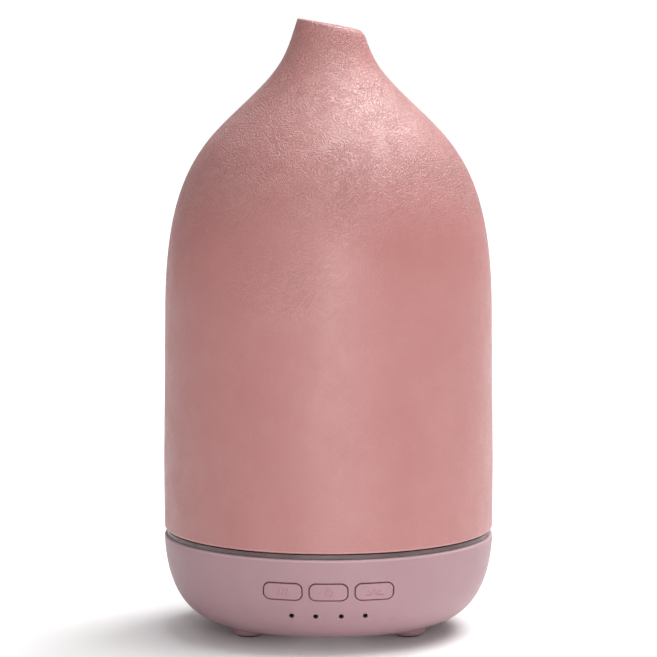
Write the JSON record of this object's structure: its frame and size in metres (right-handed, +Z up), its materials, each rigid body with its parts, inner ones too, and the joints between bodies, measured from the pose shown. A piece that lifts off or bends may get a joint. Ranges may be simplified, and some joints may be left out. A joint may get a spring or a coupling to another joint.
{
  "type": "essential oil diffuser",
  "caption": "Ultrasonic mist diffuser: a lift-off ceramic cover with a slanted spout over a round base with press buttons.",
  "frame": {"origin": "on the table, under the vertical axis of the round body", "axes": "+Z up along the body's axis, -Y towards the buttons, +Y towards the power socket, +X to the right as seen from the buttons"},
  "size_m": [0.088, 0.088, 0.1631],
  "materials": {
    "ceramic": "matt, fine leather-like grain",
    "shell_plastic": "satin moulded",
    "button_plastic": "satin moulded",
    "ring_silicone": "matt translucent smoke",
    "milky_plastic": "translucent moulded",
    "white_silicone": "matt",
    "foot_rubber": "matt",
    "black_plastic": "fine moulded grain",
    "circuit_board": "green solder mask",
    "white_board": "white solder mask",
    "steel": "bright plated",
    "aluminium": "extruded",
    "copper": "enamelled wire",
    "led_lens": "clear moulded",
    "smoked_plastic": "polished, dark translucent",
    "red_lead": "smooth insulation",
    "black_lead": "smooth insulation"
  },
  "bodies": {
    "base": {"water_tank": "milky_plastic", "tank_gasket": "white_silicone", "base_shell": "shell_plastic", "bottom_cover": "shell_plastic", "dc_socket": "black_plastic", "foot_pad_front_left": "foot_rubber", "foot_pad_front_right": "foot_rubber", "foot_pad_rear": "foot_rubber", "housing_screw_1": "steel", "housing_screw_2": "steel", "housing_screw_3": "steel", "transducer_disc": "steel", "transducer_seal": "white_silicone", "transducer_retainer": "steel", "transducer_screw_1": "steel", "transducer_screw_2": "steel", "transducer_screw_3": "steel", "fan_frame": "black_plastic", "fan_screw_1": "steel", "fan_screw_2": "steel", "air_duct": "milky_plastic", "main_board": "circuit_board", "board_screw_1": "steel", "board_screw_2": "steel", "capacitor": "black_plastic", "inductor": "copper", "heat_sink": "aluminium", "power_transistor": "black_plastic", "controller_chip": "black_plastic", "fan_connector": "white_silicone", "control_board": "circuit_board", "control_screw_1": "steel", "control_screw_2": "steel", "mist_switch": "black_plastic", "power_switch": "black_plastic", "light_switch": "black_plastic", "signal_led_1": "led_lens", "signal_led_2": "led_lens", "signal_led_3": "led_lens", "signal_led_4": "led_lens", "light_guide": "smoked_plastic", "light_board": "white_board", "glow_led_1": "led_lens", "glow_led_2": "led_lens", "glow_led_3": "led_lens", "fan_lead": "red_lead", "transducer_lead": "red_lead", "power_lead": "black_lead", "light_lead": "white_silicone", "board_ribbon": "white_silicone"},
    "ring": {"seat_ring": "ring_silicone"},
    "lid": {"inner_lid": "milky_plastic"},
    "cover": {"ceramic_cover": "ceramic"},
    "mist_key": {"mist_button": "button_plastic", "mist_switch_stem": "white_silicone"},
    "power_key": {"power_button": "button_plastic", "power_switch_stem": "white_silicone"},
    "light_key": {"light_button": "button_plastic", "light_switch_stem": "white_silicone"},
    "fan": {"fan_rotor": "black_plastic"}
  },
  "joints": [
    {"name": "cover_turn", "type": "hinge", "parent": "base", "child": "ring", "pos_m": [0, 0, 0.0266], "axis": [0, 0, 1], "continuous": true},
    {"name": "lid_lift", "type": "slide", "parent": "ring", "child": "lid", "axis": [0, 0, 1], "range_m": [0, 0.07]},
    {"name": "cover_lift", "type": "slide", "parent": "lid", "child": "cover", "axis": [0, 0, 1], "range_m": [0, 0.13]},
    {"name": "mist_press", "type": "slide", "parent": "base", "child": "mist_key", "axis": [0, 1, 0], "range_m": [0, 0.0006], "stiffness_N_per_m": 800, "springref_m": -0.0005},
    {"name": "power_press", "type": "slide", "parent": "base", "child": "power_key", "axis": [0, 1, 0], "range_m": [0, 0.0006], "stiffness_N_per_m": 800, "springref_m": -0.0005},
    {"name": "light_press", "type": "slide", "parent": "base", "child": "light_key", "axis": [0, 1, 0], "range_m": [0, 0.0006], "stiffness_N_per_m": 800, "springref_m": -0.0005},
    {"name": "fan_spin", "type": "hinge", "parent": "base", "child": "fan", "pos_m": [0, 0.01, 0.009], "axis": [0, 0, 1], "continuous": true}
  ]
}
